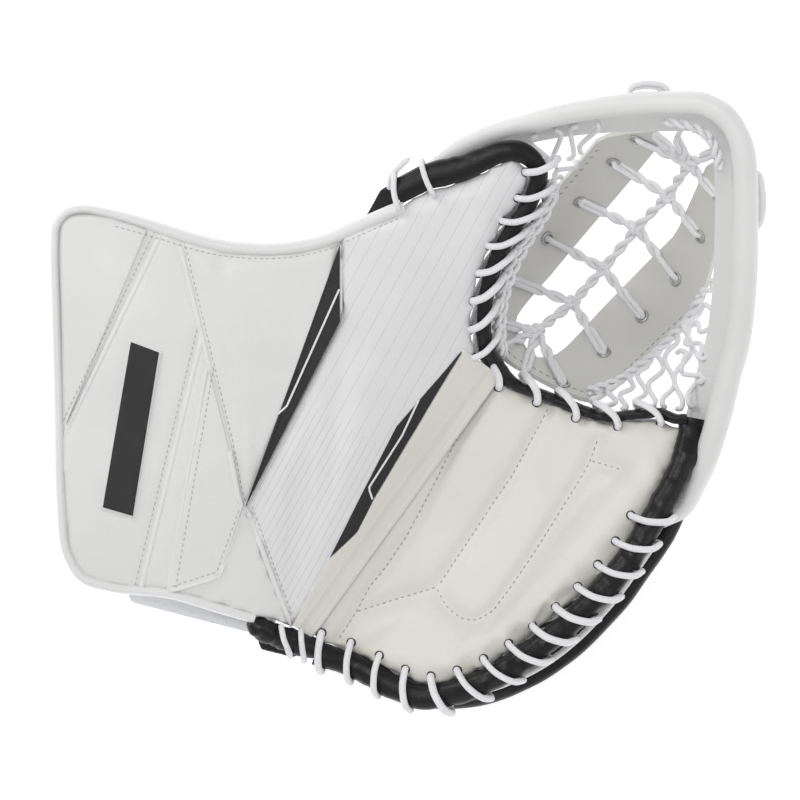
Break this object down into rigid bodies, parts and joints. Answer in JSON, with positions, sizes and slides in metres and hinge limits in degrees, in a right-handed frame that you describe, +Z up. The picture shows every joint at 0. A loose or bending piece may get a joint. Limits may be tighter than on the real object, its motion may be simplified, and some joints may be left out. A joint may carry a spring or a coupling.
{
  "type": "goalie catch glove",
  "caption": "Ice-hockey goalkeeper catch glove, left hand: padded cuff and thumb, quilted palm and a laced pocket that fold together about the break.",
  "frame": {"origin": "under the middle of the glove, on the surface that it lies on, palm up", "axes": "+X from the cuff towards the pocket, +Y towards the thumb side, +Z up out of the palm"},
  "size_m": [0.4068, 0.3602, 0.149],
  "materials": {
    "white_leather": "white synthetic leather, fine grain, soft sheen",
    "palm_leather": "warm white palm leather, matt",
    "strap_leather": "light warm-grey strap leather",
    "black_leather": "black satin leather with seams",
    "accent_leather": "dark grey leather inlay",
    "lining": "light grey knitted lining",
    "foam": "foam padding in fabric",
    "stiffener_board": "moulded plastic board",
    "lace": "white waxed round lace",
    "eyelet_metal": "nickel-plated eyelet"
  },
  "bodies": {
    "thumb_side": {"accent_inlay_lower": "accent_leather", "accent_inlay_upper": "accent_leather", "closure_tab": "lining", "cuff_back_pad": "foam", "cuff_badge": "black_leather", "cuff_binding": "white_leather", "cuff_corner_panel": "white_leather", "cuff_face_pad": "white_leather", "cuff_overlay_panel": "white_leather", "cuff_stiffener": "stiffener_board", "heel_binding": "black_leather", "heel_tab": "black_leather", "rim_thumb_end": "white_leather", "thumb_binding": "black_leather", "thumb_face_pad": "white_leather", "thumb_guard": "white_leather", "thumb_lacing": "lace", "thumb_liner": "foam", "thumb_net": "lace", "thumb_side_wall": "white_leather", "thumb_stiffener": "stiffener_board", "upper_tab": "black_leather", "wrist_back_pad": "lining", "wrist_side_wall": "lining"},
    "palm_side": {"palm_face_pad": "palm_leather", "palm_stiffener": "stiffener_board", "palm_liner": "foam", "palm_binding": "black_leather", "palm_pocket_binding": "black_leather", "palm_lacing": "lace", "pocket_lacing": "lace", "outer_roll": "black_leather", "shell_piping": "white_leather", "backhand_shell": "black_leather", "finger_liner": "lining", "hand_strap": "accent_leather", "rim_palm_end": "white_leather", "palm_net": "lace", "break_gusset": "palm_leather"},
    "web": {"web_strap": "strap_leather", "slot_net": "lace", "rim_bead": "white_leather", "rim_wall": "white_leather", "rim_lace_top": "lace", "rim_lace_side": "lace", "web_eyelet_01": "eyelet_metal", "web_eyelet_02": "eyelet_metal", "web_eyelet_03": "eyelet_metal", "web_eyelet_04": "eyelet_metal", "web_eyelet_05": "eyelet_metal", "web_eyelet_06": "eyelet_metal", "web_eyelet_07": "eyelet_metal", "web_eyelet_08": "eyelet_metal", "web_eyelet_09": "eyelet_metal", "web_eyelet_10": "eyelet_metal", "web_eyelet_11": "eyelet_metal"},
    "wrist_strap_body": {"wrist_strap": "black_leather", "strap_hook_pad": "accent_leather"}
  },
  "joints": [
    {"name": "palm_close", "type": "hinge", "parent": "thumb_side", "child": "palm_side", "pos_m": [-0.06086, -0.13427, 0.079], "axis": [-0.5861, -0.8103, 0], "range_deg": [0, 45], "stiffness_Nm_per_rad": 0.4, "deforming": ["break_gusset", "palm_net"]},
    {"name": "web_follow", "type": "hinge", "parent": "thumb_side", "child": "web", "pos_m": [-0.06086, -0.13427, 0.079], "axis": [-0.5861, -0.8103, 0], "range_deg": [0, 22.5], "deforming": ["thumb_net"]},
    {"name": "wrist_strap_open", "type": "hinge", "parent": "thumb_side", "child": "wrist_strap_body", "pos_m": [-0.11386, 0.07033, 0.003], "axis": [-1, 0, 0], "range_deg": [0, 80]}
  ],
  "couplings": [
    {"joint": "web_follow", "follows": "palm_close", "ratio": 0.5}
  ]
}
